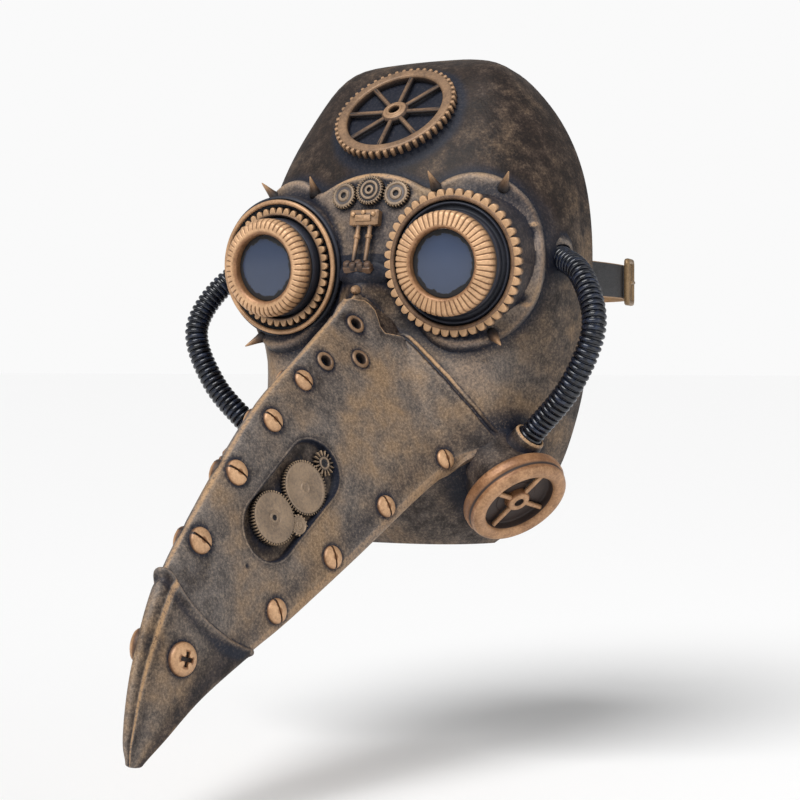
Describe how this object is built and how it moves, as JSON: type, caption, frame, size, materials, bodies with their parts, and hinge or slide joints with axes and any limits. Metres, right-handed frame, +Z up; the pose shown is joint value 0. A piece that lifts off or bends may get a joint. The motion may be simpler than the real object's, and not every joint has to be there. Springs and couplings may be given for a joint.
{
  "type": "plague doctor mask",
  "caption": "Moulded latex plague doctor mask: open-backed hood with a hooked beak, toothed goggles, forehead gear, ribbed cheek hoses, round filters and a buckled strap.",
  "frame": {"origin": "top of the wearer's head: the inner top of the hood, on the middle plane, where the mask rests on the crown", "axes": "+Z up; the mask faces -Y, so the beak points to -Y; +X is the wearer's left"},
  "size_m": [0.2364, 0.4083, 0.3241],
  "materials": {
    "latex": "moulded latex, dark umber with dry-brushed bronze and blue-black washes",
    "copper": "antique copper paint, rubbed on the edges",
    "old_iron": "dark iron paint, satin",
    "hose_rubber": "glossy black ribbed rubber",
    "smoked_lens": "slate-blue smoked plastic, glossy",
    "leather": "black strap leather with tan edges",
    "buckle_brass": "dull bronzed brass"
  },
  "bodies": {
    "root": {"beak": "latex", "beak_tip": "latex", "bezel_left": "copper", "bezel_right": "copper", "bridge_bracket": "copper", "brow_gear_left": "copper", "brow_gear_middle": "copper", "brow_gear_right": "copper", "cross_screw_left": "copper", "cross_screw_right": "copper", "eyelet_back_left": "old_iron", "eyelet_back_right": "old_iron", "eyelet_front_left": "old_iron", "eyelet_front_right": "old_iron", "eyelet_top_left": "old_iron", "eyelet_top_right": "old_iron", "filter_housing_left": "old_iron", "filter_housing_right": "old_iron", "filter_wheel_left": "copper", "filter_wheel_right": "copper", "forehead_gear": "copper", "gear_ring_left": "copper", "gear_ring_right": "copper", "gear_train_left": "copper", "gear_train_right": "copper", "goggle_cup_left": "old_iron", "goggle_cup_right": "old_iron", "goggle_plate": "latex", "goggle_rim_right": "copper", "hood": "latex", "hose_collar_left": "old_iron", "hose_collar_right": "old_iron", "hose_left": "hose_rubber", "hose_right": "hose_rubber", "lens_left": "smoked_lens", "lens_right": "smoked_lens", "screw_lower_1_left": "copper", "screw_lower_1_right": "copper", "screw_lower_2_left": "copper", "screw_lower_2_right": "copper", "screw_lower_3_left": "copper", "screw_lower_3_right": "copper", "screw_lower_4_left": "copper", "screw_lower_4_right": "copper", "screw_upper_1_left": "copper", "screw_upper_1_right": "copper", "screw_upper_2_left": "copper", "screw_upper_2_right": "copper", "screw_upper_3_left": "copper", "screw_upper_3_right": "copper", "screw_upper_4_left": "copper", "screw_upper_4_right": "copper", "spike_inner_top_left": "copper", "spike_inner_top_right": "copper", "spike_lower_left": "copper", "spike_lower_right": "copper", "spike_outer_top_left": "copper", "spike_outer_top_right": "copper", "strap": "leather", "strap_buckle": "buckle_brass"}
  },
  "joints": []
}
